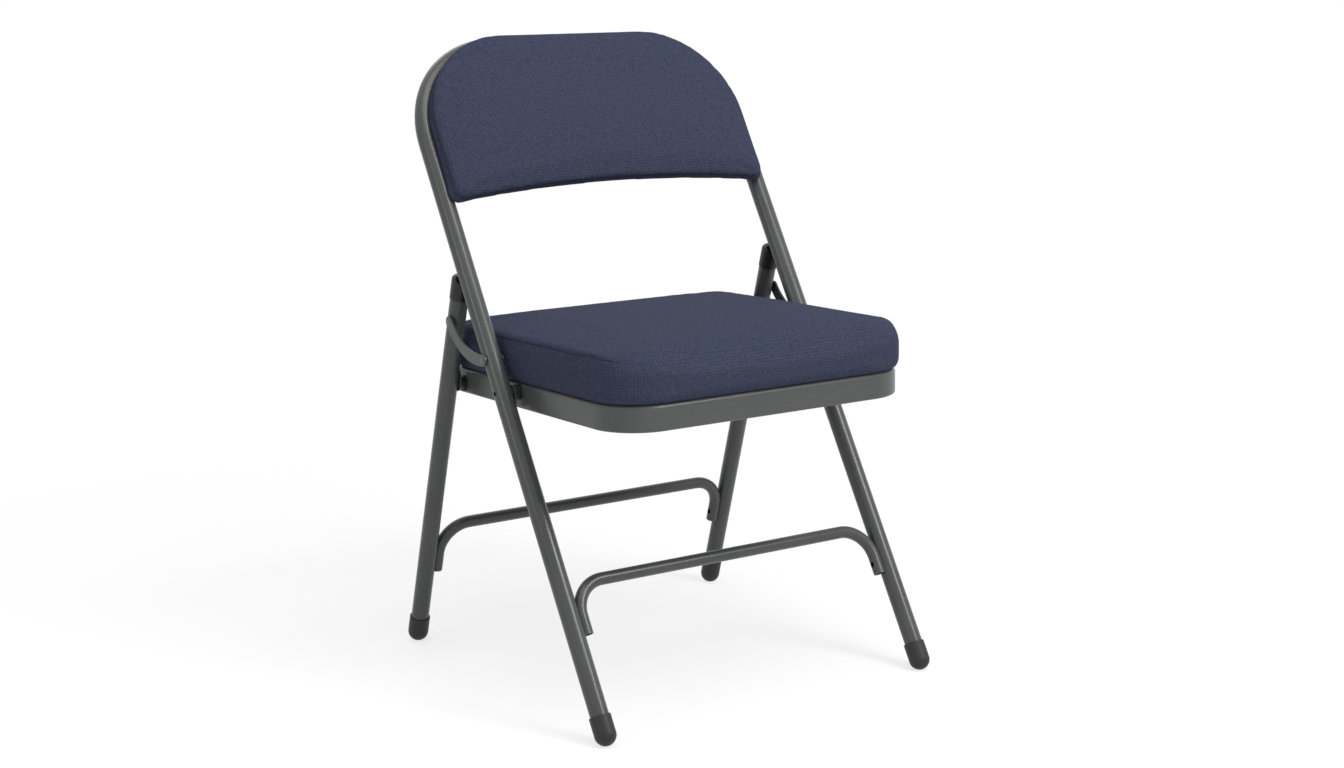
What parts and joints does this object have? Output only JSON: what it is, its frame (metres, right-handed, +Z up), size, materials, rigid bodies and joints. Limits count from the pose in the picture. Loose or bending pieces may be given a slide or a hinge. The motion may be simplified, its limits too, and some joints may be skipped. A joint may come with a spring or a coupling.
{
  "type": "folding chair",
  "caption": "Steel tube folding chair with a padded fabric seat and back, cross braces and side links; the seat tips up and the rear legs fold flat behind the frame.",
  "frame": {"origin": "on the floor, under the middle of the open chair's outline", "axes": "+Z up, the chair faces -Y, +X to the sitter's left"},
  "size_m": [0.4876, 0.482, 0.7608],
  "materials": {
    "tube_paint": "grey powder coat, satin",
    "sheet_paint": "grey powder coat, satin",
    "fastener_steel": "dark zinc",
    "spacer_plastic": "moulded, matt",
    "foot_rubber": "moulded, matt",
    "cap_plastic": "moulded, satin",
    "upholstery": "fine square weave over foam",
    "board": "raw plywood, hidden"
  },
  "bodies": {
    "frame": {"front_frame": "tube_paint", "front_foot_left": "foot_rubber", "front_foot_right": "foot_rubber", "front_brace": "tube_paint", "front_brace_rivets": "fastener_steel", "back_panel": "sheet_paint", "back_board": "board", "back_cushion": "upholstery", "back_screws": "fastener_steel", "link_pivot_rivet_left": "fastener_steel", "link_pivot_rivet_right": "fastener_steel"},
    "seat": {"seat_pan": "sheet_paint", "hinge_strap_left": "sheet_paint", "hinge_strap_right": "sheet_paint", "seat_board": "board", "seat_cushion": "upholstery", "seat_screws": "fastener_steel", "front_spacer_left": "spacer_plastic", "front_spacer_right": "spacer_plastic", "rear_spacer_left": "spacer_plastic", "rear_spacer_right": "spacer_plastic", "front_hinge_plate_left": "sheet_paint", "front_hinge_plate_right": "sheet_paint", "rear_hinge_plate_left": "sheet_paint", "rear_hinge_plate_right": "sheet_paint", "seat_pivot_rivet_left": "fastener_steel", "seat_pivot_rivet_right": "fastener_steel", "leg_pivot_rivet_left": "fastener_steel", "leg_pivot_rivet_right": "fastener_steel"},
    "rear_legs": {"rear_leg_left": "tube_paint", "rear_leg_right": "tube_paint", "rear_foot_left": "foot_rubber", "rear_foot_right": "foot_rubber", "rear_cap_left": "cap_plastic", "rear_cap_right": "cap_plastic", "rear_brace": "tube_paint", "rear_brace_rivets": "fastener_steel"},
    "link_left": {"link_left": "tube_paint", "link_rear_rivet_left": "fastener_steel"},
    "link_right": {"link_right": "tube_paint", "link_rear_rivet_right": "fastener_steel"}
  },
  "joints": [
    {"name": "seat_fold", "type": "hinge", "parent": "frame", "child": "seat", "pos_m": [0, -0.00967, 0.36293], "axis": [-1, 0, 0], "range_deg": [0, 105.49]},
    {"name": "leg_fold", "type": "hinge", "parent": "seat", "child": "rear_legs", "pos_m": [0, 0.12337, 0.34962], "axis": [1, 0, 0], "range_deg": [0, 57.7]},
    {"name": "link_left_swing", "type": "hinge", "parent": "frame", "child": "link_left", "pos_m": [0.2416, 0.013, 0.39935], "axis": [-1, 0, 0], "range_deg": [0, 131.56]},
    {"name": "link_right_swing", "type": "hinge", "parent": "frame", "child": "link_right", "pos_m": [-0.2416, 0.013, 0.39935], "axis": [-1, 0, 0], "range_deg": [0, 131.56]}
  ],
  "couplings": [
    {"joint": "leg_fold", "follows": "seat_fold", "ratio": 0.54689},
    {"joint": "link_left_swing", "follows": "seat_fold", "ratio": 1.247},
    {"joint": "link_right_swing", "follows": "seat_fold", "ratio": 1.247}
  ]
}
